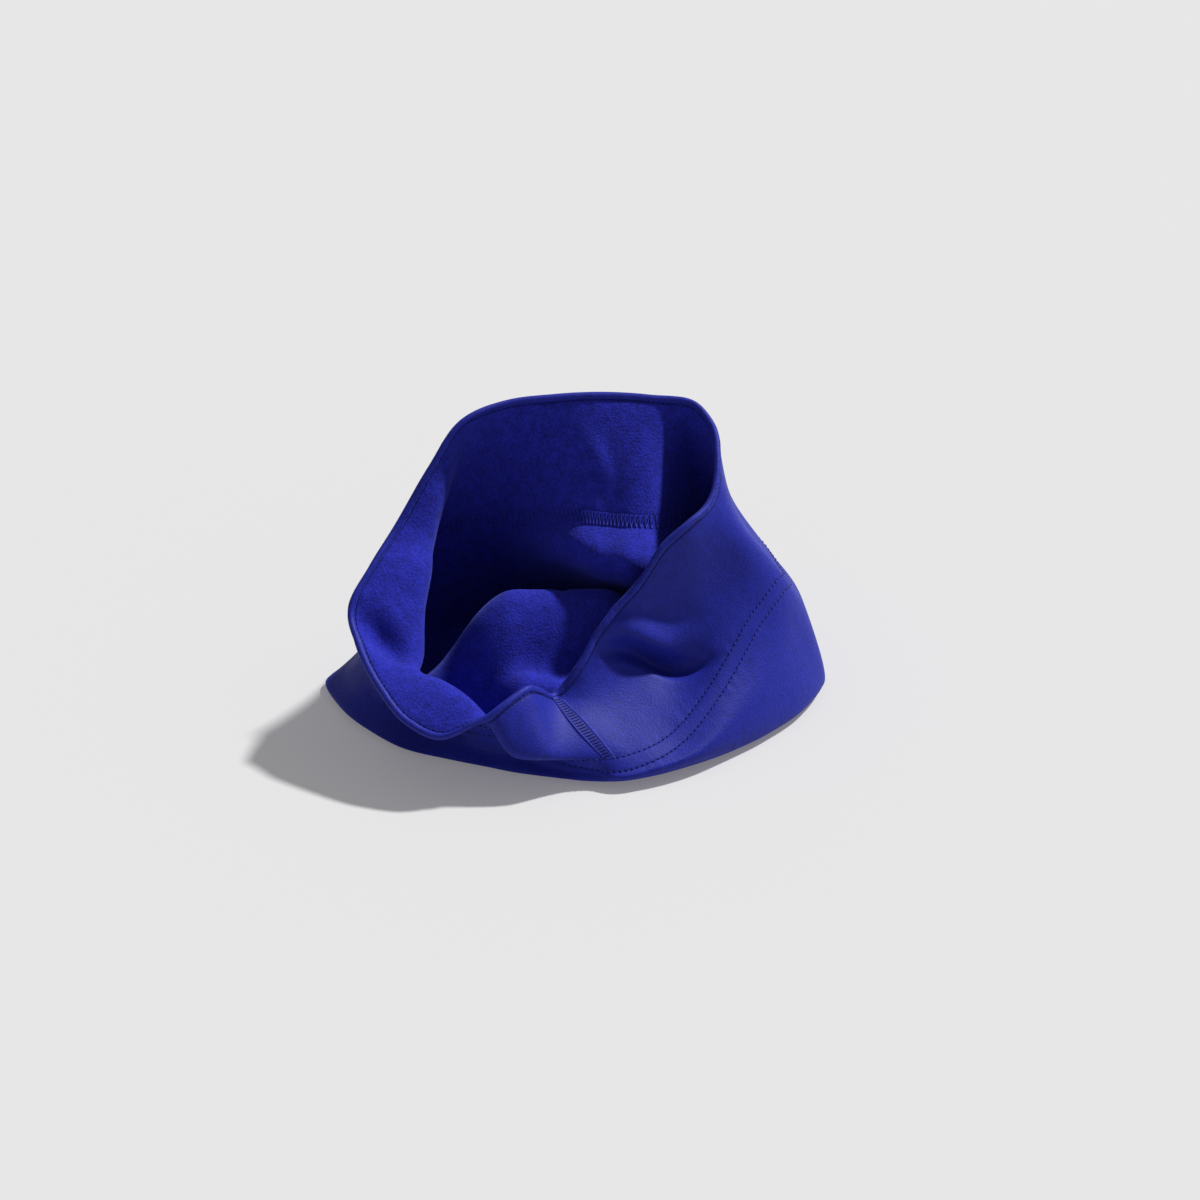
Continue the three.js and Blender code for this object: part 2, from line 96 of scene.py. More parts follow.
# How finely each piece is worked out.
BAND_TURNS = 520
BAND_ROWS = 42
CROWN_TURNS = 480
CROWN_WALL_ROWS = 34
CROWN_FLOOR_ROWS = 44
NEAR_MIDDLE = 0.985  # the share of the cloth after which two fans close the crown
HEM_TURNS = 700
HEM_SIDES = 16
LAP_ROWS = 9
CLOSURE_COLUMNS = 9
CLOSURE_ROWS = 46
STITCH_TURNS = 1400
MEASURED_TURNS = 84
EDGE_BULGE = 0.35  # the reach of a rounded edge as a share of its thickness

# Floor, light and camera.
FLOOR_HALF = 3.0
KEY_ENERGY = 4.2
KEY_ANGLE = math.radians(4)
KEY_AZIMUTH = math.radians(32)
KEY_ELEVATION = math.radians(50.5)
SKY_COLOUR = (0.93, 0.94, 1.0, 1)
SKY_STRENGTH = 0.26
CAMERA_DISTANCE = 1.6
CAMERA_TILT = math.radians(30)
CAMERA_TARGET = Vector((0.01034, 0.0, 0.0457)) + Vector(SHEET_SHIFT)
LENS = 109.09
SENSOR_WIDTH = 36

# The cloth's sections around the rim, clockwise from the closure seam. Columns: name, rim, waist,
# seam, shoulder, foot, each as shares of half the width, the front reach and the height. The foot
# has no height of its own.
SECTIONS = [
    ("closure notch", (-0.10, -0.64, 0.24), (0.02, -0.81, 0.18),
     (0.15, -0.93, 0.08), (0.16, -0.98, 0.05), (0.14, -0.95)),
    ("panel foot", (0.00, -0.57, 0.32), (0.13, -0.66, 0.20),
     (0.27, -0.88, 0.09), (0.30, -0.94, 0.06), (0.28, -0.91)),
    ("panel low", (0.09, -0.46, 0.43), (0.23, -0.49, 0.25),
     (0.39, -0.76, 0.11), (0.47, -0.83, 0.08), (0.46, -0.80)),
    ("panel middle", (0.25, -0.36, 0.57), (0.38, -0.36, 0.29),
     (0.54, -0.54, 0.20), (0.63, -0.63, 0.13), (0.66, -0.63)),
    ("panel high", (0.34, -0.30, 0.68), (0.49, -0.28, 0.42),
     (0.63, -0.38, 0.28), (0.74, -0.45, 0.17), (0.78, -0.49)),
    ("right front", (0.44, -0.23, 0.74), (0.58, -0.18, 0.52),
     (0.71, -0.23, 0.36), (0.82, -0.27, 0.21), (0.90, -0.31)),
    ("right side", (0.51, -0.12, 0.765), (0.65, -0.10, 0.61),
     (0.80, -0.08, 0.42), (0.88, -0.11, 0.23), (0.98, -0.12)),
    ("right back", (0.56, 0.12, 0.87), (0.64, 0.14, 0.64),
     (0.83, 0.16, 0.40), (0.93, 0.16, 0.25), (0.98, 0.14)),
    ("right corner", (0.54, 0.31, 0.93), (0.58, 0.33, 0.69),
     (0.71, 0.40, 0.46), (0.84, 0.47, 0.26), (0.84, 0.45)),
    ("corner bulge", (0.48, 0.40, 0.97), (0.49, 0.42, 0.72),
     (0.55, 0.42, 0.52), (0.64, 0.59, 0.29), (0.62, 0.64)),
    ("back bend", (0.29, 0.45, 0.98), (0.29, 0.24, 0.80),
     (0.29, 0.05, 0.63), (0.28, -0.14, 0.50), (0.36, 0.73)),
    ("back middle", (0.13, 0.45, 0.99), (0.14, 0.26, 0.81),
     (0.13, 0.08, 0.63), (0.13, -0.11, 0.50), (0.13, 0.75)),
    ("back left", (-0.10, 0.40, 1.00), (-0.09, 0.32, 0.80),
     (-0.07, 0.19, 0.61), (-0.07, 0.12, 0.47), (-0.09, 0.73)),
    ("left corner", (-0.27, 0.34, 1.00), (-0.28, 0.42, 0.76),
     (-0.31, 0.44, 0.52), (-0.32, 0.50, 0.32), (-0.31, 0.66)),
    ("left high", (-0.45, 0.21, 0.97), (-0.47, 0.36, 0.75),
     (-0.57, 0.44, 0.47), (-0.58, 0.45, 0.26), (-0.58, 0.49)),
    ("left upper", (-0.585, 0.09, 0.83), (-0.53, 0.17, 0.68),
     (-0.66, 0.35, 0.40), (-0.71, 0.38, 0.22), (-0.73, 0.38)),
    ("left middle", (-0.72, -0.06, 0.66), (-0.58, 0.01, 0.55),
     (-0.73, 0.21, 0.31), (-0.82, 0.26, 0.15), (-0.86, 0.26)),
    ("left lower", (-0.815, -0.24, 0.57), (-0.585, -0.13, 0.51),
     (-0.76, 0.07, 0.25), (-0.88, 0.12, 0.10), (-0.97, 0.12)),
    ("left tip", (-0.89, -0.41, 0.48), (-0.61, -0.29, 0.42),
     (-0.78, -0.09, 0.20), (-0.93, -0.04, 0.07), (-1.02, -0.02)),
    ("flap top", (-0.865, -0.56, 0.41), (-0.61, -0.44, 0.33),
     (-0.78, -0.26, 0.16), (-0.89, -0.21, 0.08), (-0.96, -0.22)),
    ("flap middle", (-0.76, -0.80, 0.30), (-0.61, -0.64, 0.31),
     (-0.73, -0.40, 0.13), (-0.78, -0.40, 0.07), (-0.82, -0.48)),
    ("flap low", (-0.66, -0.94, 0.24), (-0.52, -0.73, 0.31),
     (-0.60, -0.49, 0.12), (-0.65, -0.52, 0.06), (-0.68, -0.65)),
    ("rim lowest", (-0.52, -1.02, 0.21), (-0.43, -0.82, 0.29),
     (-0.47, -0.63, 0.12), (-0.49, -0.67, 0.07), (-0.50, -0.75)),
    ("front rise", (-0.38, -0.99, 0.26), (-0.35, -0.89, 0.24),
     (-0.36, -0.78, 0.15), (-0.35, -0.76, 0.07), (-0.35, -0.82)),
    ("front crest", (-0.26, -0.90, 0.32), (-0.24, -1.02, 0.15),
     (-0.22, -0.82, 0.14), (-0.22, -0.82, 0.07), (-0.22, -0.88)),
    ("crest end", (-0.18, -0.79, 0.33), (-0.12, -1.01, 0.15),
     (-0.08, -0.88, 0.09), (-0.07, -0.89, 0.05), (-0.08, -0.92)),
    ("beside notch", (-0.14, -0.71, 0.29), (-0.05, -0.94, 0.15),
     (0.05, -0.92, 0.08), (0.06, -0.93, 0.05), (0.04, -0.95)),
]
# Drops from the rim to the crown's middle: rim, waist, seam, shoulder, foot, middle.
LEVELS = [0.0, 0.14, 0.28, 0.42, 0.56, 1.0]
SEAM_LEVEL = LEVELS[2]
FOOT_LEVEL = LEVELS[4]
MIDDLE = np.array([-0.06, -0.115, 0])  # the crown's middle, as shares like those of a section
EDGE_RUN = 0.12  # the share of the way to the middle over which the foot's edge comes down
TUCK_RUN = 0.3  # the share of the way to the middle over which the tucks begin
ROUNDING_FROM = 0.29  # the drop at which the foot's rounding sets in
ROUNDING_RUN = 0.05
ROUNDING_SPAN = 15  # drops that are averaged
SLOPE_STEP = 0.0008  # the small step, in turns or drops, with which slopes are measured

# Smaller folds. Columns: name, from and to as (turn, drop), width and push as shares of the fold
# width and the fold depth.
FOLDS = [
    ("panel ridge", (0.071, 0.014), (0.146, 0.164), 1.0, 1.1),
    ("panel dent", (0.054, 0.042), (0.146, 0.236), 0.75, -1.15),
    ("back wrinkle", (0.415, 0.095), (0.398, 0.190), 0.8, -0.25),
    ("left pocket", (0.720, 0.020), (0.772, 0.085), 1.1, 1.2),
]
# Tucks, where the crown's floor is pushed up along lines. Columns: name, from and to as shares of
# half the width and the front reach, spread to the sides, the front and the rear as shares of the
# tuck reach, and rise as a share of the tuck height.
TUCKS = [
    ("mound", (-0.24, -0.12), (0.12, -0.11), 0.90, 1.00, 0.62, 0.94),
    ("left slope", (-0.56, -0.28), (-0.40, -0.20), 0.60, 0.80, 0.70, 0.30),
    ("ruck", (-0.20, -0.52), (0.10, -0.57), 0.45, 0.45, 0.34, 0.38),
]

# The sheet of cloth


def bump(reach):
    """1 at no reach, falling smoothly to 0 at a reach of 1."""
    return 0.5 + 0.5 * np.cos(np.pi * np.minimum(np.abs(reach), 1))


def through(knots, values, at):
    """A smooth line through values at uneven knots. The first and last only set the slope."""
    knots, values, at = np.asarray(knots, float), np.asarray(values, float), np.asarray(at, float)
    wide = (slice(None),) + (None,) * (values.ndim - 1)
    steps = np.diff(knots)
    slopes = np.diff(values, axis=0) / steps[wide]
    weight = (steps[1:] / (steps[:-1] + steps[1:]))[wide]
    slope = np.zeros_like(values)
    slope[1:-1] = slopes[:-1] * weight + slopes[1:] * (1 - weight)
    i = np.clip(np.searchsorted(knots, at, side="right") - 1, 1, len(knots) - 3)
    span = (knots[i + 1] - knots[i])[wide]
    t = ((at - knots[i]))[wide] / span
    return ((2 * t**3 - 3 * t**2 + 1) * values[i] + (t**3 - 2 * t**2 + t) * span * slope[i]
            + (3 * t**2 - 2 * t**3) * values[i + 1] + (t**3 - t**2) * span * slope[i + 1])


def level_points(column):
    """The sections' points at one level."""
    rows = [row[column] if len(row[column]) == 3 else (*row[column], EDGE_HEIGHT / CAP_HEIGHT)
            for row in SECTIONS]
    return np.array(rows, float) * SHEET_SIZES


LOOPS = [level_points(column) for column in range(1, 6)]
RIM_STEPS = np.linalg.norm(np.roll(LOOPS[0], -1, axis=0) - LOOPS[0], axis=1)
RIM_LENGTH = RIM_STEPS.sum()
TURNS = np.concatenate([[0], np.cumsum(RIM_STEPS)[:-1]]) / RIM_LENGTH


def loop_at(loop, turns):
    """Points at some turns on a closed line through the sections."""
    knots = np.concatenate([TURNS[-2:] - 1, TURNS, [1, 1 + TURNS[1]]])
    values = np.concatenate([loop[-2:], loop, loop[:2]])
    return through(knots, values, np.mod(turns, 1))


def plain_sheet(turns, drops):
    """Points (turn, drop, 3) before the smaller folds."""
    places = [loop_at(loop, turns) for loop in LOOPS]
    middle = MIDDLE * SHEET_SIZES + 0 * places[0]
    foot = places[-1]
    knots = [2 * LEVELS[0] - LEVELS[1], *LEVELS, 2 * LEVELS[-1]]
    values = np.stack([2 * places[0] - places[1], *places, middle, 2 * middle - foot])
    points = np.swapaxes(through(knots, values, np.minimum(drops, FOOT_LEVEL)), 0, 1).copy()
    under = np.clip((drops - FOOT_LEVEL) / (1 - FOOT_LEVEL), 0, 1)
    flat = foot[:, None] * (1 - under)[None, :, None] + middle[:, None] * under[None, :, None]
    flat[..., 2] = EDGE_HEIGHT * np.maximum(0, 1 - under / EDGE_RUN)
    beyond = drops > FOOT_LEVEL
    points[:, beyond] = flat[:, beyond]
    return points


def outward(points_at, turns, drops):
    """Directions straight out of a surface."""
    across = points_at(turns + SLOPE_STEP, drops) - points_at(turns - SLOPE_STEP, drops)
    below = points_at(turns, np.minimum(drops + SLOPE_STEP, 1))
    along = below - points_at(turns, np.maximum(drops - SLOPE_STEP, 0))
    out = np.cross(along, across)
    return out / np.maximum(np.linalg.norm(out, axis=2, keepdims=True), 1e-12)


def fold_reach(fold, turns, drops):
    """How far each place lies from a fold's middle line, 1 at the edge of its lens."""
    _, start, end, width, _ = fold
    size = np.array([RIM_LENGTH, CLOTH_REACH])
    middle = (np.array(start) + end) / 2 * size
    half = (np.array(end) - np.array(start)) / 2 * size
    length = np.hypot(*half)
    x = (np.mod(turns, 1) * size[0] - middle[0])[:, None] + 0 * drops[None]
    y = (drops * size[1] - middle[1])[None] + 0 * x
    x = np.where(x > RIM_LENGTH / 2, x - RIM_LENGTH, x)
    along = (x * half[0] + y * half[1]) / length
    across = (y * half[0] - x * half[1]) / length
    return np.hypot(along / (length + width * FOLD_WIDTH), across / (width * FOLD_WIDTH))


def tuck_rise(points):
    """How far the tucks lift the crown's floor. Where two meet, they blend."""
    left = np.ones(points.shape[:-1])
    for _, start, end, side, front, rear, height in TUCKS:
        line = (np.array(end) - np.array(start)) * SHEET_SIZES[:2]
        here = points[..., :2] - np.array(start) * SHEET_SIZES[:2]
        along = np.clip((here * line).sum(axis=-1) / (line**2).sum(), 0, 1)
        off = here - along[..., None] * line
        depth = np.where(off[..., 1] < 0, front, rear)
        left *= 1 - height * bump(np.hypot(off[..., 0] / side, off[..., 1] / depth) / TUCK_REACH)
    return TUCK_HEIGHT * (1 - left)


def folded_sheet(turns, drops):
    """Points (turn, drop, 3) with the smaller folds and the tucks."""
    points = plain_sheet(turns, drops)
    out = outward(plain_sheet, turns, drops)
    for fold in FOLDS:
        push = fold[-1] * FOLD_DEPTH * bump(fold_reach(fold, turns, drops))
        points = points + out * push[..., None]
    under = np.clip((drops - FOOT_LEVEL) / (1 - FOOT_LEVEL), 0, 1)
    points[..., 2] += tuck_rise(points) * (1 - bump(under / TUCK_RUN))[None]
    return points


DROPS = np.linspace(0, 1, 301)
MEASURED = plain_sheet(np.arange(MEASURED_TURNS) / MEASURED_TURNS, DROPS)
CLOTH_REACH = np.linalg.norm(np.diff(MEASURED, axis=1), axis=2).sum(axis=1).mean()


def rounded_sheet(turns):
    """The folded sheet at all drops, with its foot rounded off."""
    points = folded_sheet(turns, DROPS)
    kernel = np.hanning(ROUNDING_SPAN)[1:-1]
    kernel /= kernel.sum()
    half = len(kernel) // 2
    padded = np.concatenate([points[:, :1].repeat(half, 1), points, points[:, -1:].repeat(half, 1)], axis=1)
    smooth = sum(k * padded[:, i:i + points.shape[1]] for i, k in enumerate(kernel))
    rounding = np.clip((DROPS - ROUNDING_FROM) / ROUNDING_RUN, 0, 1)[None, :, None]
    points = points * (1 - rounding) + smooth * rounding
    points[..., 2] = np.maximum(points[..., 2], 0)
    return points


class Cloth:
    """The sheet at some turns, by the length of cloth from the rim."""

    def __init__(self, turns):
        self.turns = np.asarray(turns, float)
        self.points = rounded_sheet(self.turns)
        across = rounded_sheet(self.turns + SLOPE_STEP) - rounded_sheet(self.turns - SLOPE_STEP)
        along = np.gradient(self.points, axis=1)
        out = np.cross(along, across)
        self.out = out / np.maximum(np.linalg.norm(out, axis=2, keepdims=True), 1e-12)
        self.out[:, -1] = (0, 0, -1)
        steps = np.linalg.norm(np.diff(self.points, axis=1), axis=2)
        self.lengths = np.concatenate([np.zeros((len(self.turns), 1)), np.cumsum(steps, axis=1)], axis=1)
        self.seam = np.array([np.interp(SEAM_LEVEL, DROPS, row) for row in self.lengths])
        self.foot = np.array([np.interp(FOOT_LEVEL, DROPS, row) for row in self.lengths])
        self.reach = self.lengths[:, -1]

    def at(self, lengths, rises):
        """Points and outward directions at (column, k) lengths of cloth and heights off the surface."""
        points = np.empty((*lengths.shape, 3))
        out = np.empty((*lengths.shape, 3))
        for i, row in enumerate(lengths):
            for axis in range(3):
                points[i, :, axis] = np.interp(row, self.lengths[i], self.points[i, :, axis])
                out[i, :, axis] = np.interp(row, self.lengths[i], self.out[i, :, axis])
        out /= np.maximum(np.linalg.norm(out, axis=2, keepdims=True), 1e-12)
        return points + out * rises[..., None] + SHEET_SHIFT, out


# Meshes


def new_mesh(name, vertices, faces, materials=(), face_material=None, uvs=None):
    mesh = bpy.data.meshes.new(name)
    mesh.from_pydata(vertices.tolist(), [], [tuple(f) for f in faces])
    mesh.update()
    mesh.polygons.foreach_set("use_smooth", np.ones(len(mesh.polygons), bool))
    for material in materials:
        mesh.materials.append(material)
    if face_material is not None:
        mesh.polygons.foreach_set("material_index", np.asarray(face_material, np.int32))
    if uvs is not None:
        layer = mesh.uv_layers.new(name="cloth")
        corner = np.empty(len(mesh.loops), np.int32)
        mesh.loops.foreach_get("vertex_index", corner)
        layer.data.foreach_set("uv", uvs[corner].astype(np.float32).ravel())
    piece = bpy.data.objects.new(name, mesh)
    bpy.context.scene.collection.objects.link(piece)
    return piece


def grid_faces(columns, rows, wrap_columns, wrap_rows):
    """Four-sided faces over a grid of points, joined round where it wraps."""
    c = np.arange(columns if wrap_columns else columns - 1)
    r = np.arange(rows if wrap_rows else rows - 1)
    c, r = np.meshgrid(c, r, indexing="ij")
    c2, r2 = (c + 1) % columns, (r + 1) % rows
    return np.stack([c * rows + r, c * rows + r2, c2 * rows + r2, c2 * rows + r], axis=-1).reshape(-1, 4)


def edge_arc(thickness, points=4):
    """Shares along and heights of a rounded edge, from the outer face to the inner one."""
    angle = np.linspace(0, np.pi, points + 2)[1:-1]
    return np.sin(angle) * thickness * EDGE_BULGE, -thickness / 2 + np.cos(angle) * thickness / 2


def wall(name, cloth, start, stop, rows, top, thickness, materials, relief=None, closed=True):
    """A wall of cloth between two lengths, with rounded edges. rows are shares from start to stop."""
    arc_s, arc_h = edge_arc(thickness)
    n = len(rows)
    reach = start[:, None] + (stop - start)[:, None] * rows[None]
    lengths = np.concatenate([
        reach, reach[:, -1:] + arc_s[None], reach[:, ::-1], reach[:, :1] - arc_s[None, ::-1]], axis=1)
    heights = np.concatenate([np.zeros(n), arc_h, np.full(n, -thickness), arc_h[::-1]])[None] + top
    heights = np.repeat(heights, len(cloth.turns), axis=0)
    if relief is not None:
        heights = heights + relief(cloth, lengths, heights)
    bulge = thickness * EDGE_BULGE
    lengths = np.clip(lengths, start[:, None] - bulge, stop[:, None] + bulge)
    points, _ = cloth.at(lengths, heights)
    m = points.shape[1]
    faces = grid_faces(len(cloth.turns), m, closed, True)
    vertices = points.reshape(-1, 3)
    row = faces[:, 0] % m
    inner = ((row >= n + len(arc_s) // 2) & (row < 2 * n + len(arc_s) + len(arc_s) // 2)).astype(int)
    uvs = np.stack([np.repeat(cloth.turns[:, None], m, 1) * RIM_LENGTH, lengths], axis=-1).reshape(-1, 2)
    if not closed:
        # flat ends
        last = (len(cloth.turns) - 1) * m
        faces = faces.tolist()
        inner = inner.tolist()
        faces.append(tuple(range(m)))
        faces.append(tuple(range(last + m - 1, last - 1, -1)))
        inner += [0, 0]
    return new_mesh(name, vertices, faces, materials, inner, uvs)


def tubes(name, lines, radius, material, sides=6, taper=0.45):
    """Many short threads in one mesh. lines is (threads, points, 3)."""
    lines = np.asarray(lines, float)
    n, m, _ = lines.shape
    along = np.gradient(lines, axis=1)
    along /= np.maximum(np.linalg.norm(along, axis=2, keepdims=True), 1e-12)
    helper = np.zeros_like(along)
    helper[..., 2] = 1
    flat = np.abs(along[..., 2]) > 0.9
    helper[flat] = (1, 0, 0)
    side = np.cross(along, helper)
    side /= np.linalg.norm(side, axis=2, keepdims=True)
    up = np.cross(side, along)
    size = np.full(m, radius)
    size[[0, -1]] *= taper
    angle = np.arange(sides) * 2 * np.pi / sides
    ring = (side[:, :, None] * np.cos(angle)[None, None, :, None]
            + up[:, :, None] * np.sin(angle)[None, None, :, None]) * size[None, :, None, None]
    vertices = (lines[:, :, None] + ring).reshape(-1, 3)
    base = grid_faces(m, sides, False, True)
    faces = (base[None] + (np.arange(n) * m * sides)[:, None, None]).reshape(-1, 4).tolist()
    for i in range(n):
        a = i * m * sides
        faces.append(tuple(range(a, a + sides)))
        b = a + (m - 1) * sides
        faces.append(tuple(range(b + sides - 1, b - 1, -1)))
    return new_mesh(name, vertices, faces, [material])


# Materials


def fabric(name, colour, roughness, sheen, sheen_colour, grain_scale, grain, mottle):
    """Cloth or thread. The grain's height is in metres, and the mottle is a share of the colour."""
    material = bpy.data.materials.new(name)
    material.use_nodes = True
    nodes, links = material.node_tree.nodes, material.node_tree.links
    shader = nodes["Principled BSDF"]
    shader.inputs["Roughness"].default_value = roughness
    shader.inputs["Sheen Weight"].default_value = sheen
    shader.inputs["Sheen Roughness"].default_value = 0.45
    shader.inputs["Sheen Tint"].default_value = (*sheen_colour, 1)
    shader.inputs["Specular IOR Level"].default_value = 0.18
    place = nodes.new("ShaderNodeTexCoord")
    fine = nodes.new("ShaderNodeTexNoise")
    fine.inputs["Scale"].default_value = grain_scale
    fine.inputs["Detail"].default_value = 3
    fine.inputs["Roughness"].default_value = 0.6
    links.new(place.outputs["Object"], fine.inputs["Vector"])
    wide = nodes.new("ShaderNodeTexNoise")
    wide.inputs["Scale"].default_value = grain_scale * 0.22
    wide.inputs["Detail"].default_value = 2
    links.new(place.outputs["Object"], wide.inputs["Vector"])
    blend = nodes.new("ShaderNodeMix")
    blend.data_type = "FLOAT"
    blend.inputs[0].default_value = 0.3
    links.new(fine.outputs["Fac"], blend.inputs[2])
    links.new(wide.outputs["Fac"], blend.inputs[3])
    ramp = nodes.new("ShaderNodeValToRGB")
    ramp.color_ramp.elements[0].position = 0.32
    ramp.color_ramp.elements[1].position = 0.68
    ramp.color_ramp.elements[0].color = (*[c * (1 - mottle) for c in colour], 1)
    ramp.color_ramp.elements[1].color = (*[min(1, c * (1 + mottle)) for c in colour], 1)
    links.new(blend.outputs[0], ramp.inputs["Fac"])
    links.new(ramp.outputs["Color"], shader.inputs["Base Color"])
    relief = nodes.new("ShaderNodeBump")
    relief.inputs["Strength"].default_value = 1
    relief.inputs["Distance"].default_value = grain
    links.new(blend.outputs[0], relief.inputs["Height"])
    links.new(relief.outputs["Normal"], shader.inputs["Normal"])
    return material


BLUE = (0.0105, 0.0165, 0.270)
JERSEY_SHEEN = (0.35, 0.45, 1.0)
FLEECE_BLUE = (0.0160, 0.0203, 0.324)
FLEECE_SHEEN = (0.22, 0.28, 1.0)
THREAD_SHEEN = (0.3, 0.4, 1.0)
THREAD_GRAIN = (2500, 0.00006, 0.15)  # scale, height and mottle

jersey = fabric("jersey_outside", BLUE, 0.55, 0.08, JERSEY_SHEEN, 1150, 0.00030, 0.28)
brushed = fabric("fleece_inside", FLEECE_BLUE, 0.95, 0.30, FLEECE_SHEEN, 950, 0.0006, 0.5)
hem_cloth = fabric("hem_cloth", BLUE, 0.55, 0.15, JERSEY_SHEEN, 900, 0.0003, 0.3)
thread_blue = fabric("thread_blue", (0.0065, 0.0095, 0.150), 0.40, 0.1, (0.4, 0.5, 1.0), *THREAD_GRAIN)
thread_ladder = fabric("thread_ladder", (0.014, 0.020, 0.320), 0.5, 0.2, THREAD_SHEEN, *THREAD_GRAIN)
thread_dark = fabric("thread_dark", (0.004, 0.005, 0.060), 0.6, 0.1, THREAD_SHEEN, *THREAD_GRAIN)

# Pieces

CLOSURE_HALF = CLOSURE_WIDTH / 2 / RIM_LENGTH  # half the closure's width as a share of a turn
CLOSURE_EDGE = CLOSURE_HALF + JOIN / RIM_LENGTH
LAP_PROUD = (LAP_THICKNESS - CLOTH) / 2  # how far a thicker piece stands off each face of the cloth
CLOSURE_PROUD = (CLOSURE_THICKNESS - CLOTH) / 2


def even(count):
    return np.arange(count) / count


def pucker(turns, pitch, seed):
    """A small uneven wave along the rim, from -1 to 1."""
    s = turns * RIM_LENGTH
    drift = 2.0 * np.sin(2 * np.pi * s / (pitch * 4.3) + seed)
    swell = 0.6 + 0.4 * np.sin(2 * np.pi * s / (pitch * 6.7) + 2 * seed)
    return np.sin(2 * np.pi * s / pitch + drift) * swell


def face_side(heights):
    """1 on the outer half of the cloth and -1 on the inner half."""
    return np.where(heights > -CLOTH / 2, 1.0, -1.0)


def fading(distance, run):
    return np.exp(-np.maximum(distance, 0) / run)


def band_relief(cloth, lengths, heights):
    """The cloth draws in where it is stitched at the hem and the lap."""
    below_hem = lengths - HEM_DEPTH
    above_lap = cloth.seam[:, None] - LAP_WIDTH / 2 - lengths
    dip = HEM_DIP * fading(below_hem, HEM_DIP_RUN) + LAP_DIP * fading(above_lap, LAP_DIP_RUN)
    wave = pucker(cloth.turns, PUCKER_PITCH, 1.0)[:, None] * PUCKER_HEIGHT
    near_stitches = fading(below_hem, PUCKER_RUN) + fading(above_lap, PUCKER_RUN)
    return wave * near_stitches - face_side(heights) * dip


def crown_relief(cloth, lengths, heights):
    """The cloth draws in under the lap."""
    below_lap = lengths - (cloth.seam[:, None] + LAP_WIDTH / 2)
    dip = LAP_DIP * fading(below_lap, LAP_DIP_RUN)
    wave = pucker(cloth.turns, PUCKER_PITCH, 2.3)[:, None] * PUCKER_HEIGHT
    return wave * fading(below_lap, PUCKER_RUN) - face_side(heights) * dip


def lap_relief(cloth, lengths, heights):
    """The edges of the lap lie a little lower than its middle."""
    from_middle = np.abs(lengths - cloth.seam[:, None])
    return -face_side(heights) * LAP_EDGE_DIP * fading(LAP_WIDTH / 2 - from_middle, LAP_EDGE_RUN)


def panel(name, turns, rows, proud, thickness, relief):
    """A piece from the hem down to the lap, tucked a little under both, and its sheet."""
    sheet = Cloth(turns)
    start = np.full(len(turns), HEM_DEPTH - UNDER_HEM)
    stop = sheet.seam - LAP_WIDTH / 2 + UNDER_LAP
    piece = wall(name, sheet, start, stop, np.linspace(0, 1, rows), proud, thickness,
                 [jersey, brushed], relief, closed=False)
    return piece, sheet


def band_turns():
    """Turns from one edge of the closure round to the other."""
    inner = even(BAND_TURNS)[1:]
    clear = CLOSURE_EDGE * 1.2
    inner = inner[(inner > clear) & (inner < 1 - clear)]
    return np.concatenate([[CLOSURE_EDGE], inner, [1 - CLOSURE_EDGE]])


def crown_mesh():
    """The crown's outer face from the middle to the lap, its edge, and its inner face back again."""
    ring = Cloth(even(CROWN_TURNS))
    start = ring.seam + LAP_WIDTH / 2 - UNDER_LAP
    near_middle = ring.reach * NEAR_MIDDLE
    wall_shares = np.linspace(0, 1, CROWN_WALL_ROWS)
    floor_shares = np.linspace(0, 1, CROWN_FLOOR_ROWS + 1)[1:]
    reach = np.concatenate([
        start[:, None] + (ring.foot - start)[:, None] * wall_shares[None],
        ring.foot[:, None] + (near_middle - ring.foot)[:, None] * floor_shares[None]], axis=1)
    n = reach.shape[1]
    arc_s, arc_h = edge_arc(CLOTH)
    lengths = np.concatenate([reach[:, ::-1], start[:, None] - arc_s[None], reach], axis=1)
    heights = np.concatenate([np.zeros(n), arc_h, np.full(n, -CLOTH)])[None].repeat(len(ring.turns), 0)
    heights = heights + crown_relief(ring, lengths, heights)
    points, _ = ring.at(lengths, heights)
    m = points.shape[1]
    faces = grid_faces(len(ring.turns), m, True, False)
    row = faces[:, 0] % m
    inner = (row >= n + len(arc_s) // 2).astype(int).tolist()
    faces = faces.tolist()
    # two fans close the middle, one on each face of the cloth
    outer_middle = len(ring.turns) * m
    inner_middle = outer_middle + 1
    for i in range(len(ring.turns)):
        j = (i + 1) % len(ring.turns)
        faces.append((outer_middle, i * m, j * m))
        faces.append((inner_middle, j * m + m - 1, i * m + m - 1))
        inner += [0, 1]
    middles = np.array([points[:, 0].mean(axis=0), points[:, -1].mean(axis=0)])
    vertices = np.concatenate([points.reshape(-1, 3), middles])
    uvs = np.stack([np.repeat(ring.turns[:, None], m, 1) * RIM_LENGTH, lengths], axis=-1).reshape(-1, 2)
    uvs = np.concatenate([uvs, [[0, 0.2], [0, 0.2]]])
    return new_mesh("crown_cloth", vertices, faces, [jersey, brushed], inner, uvs)


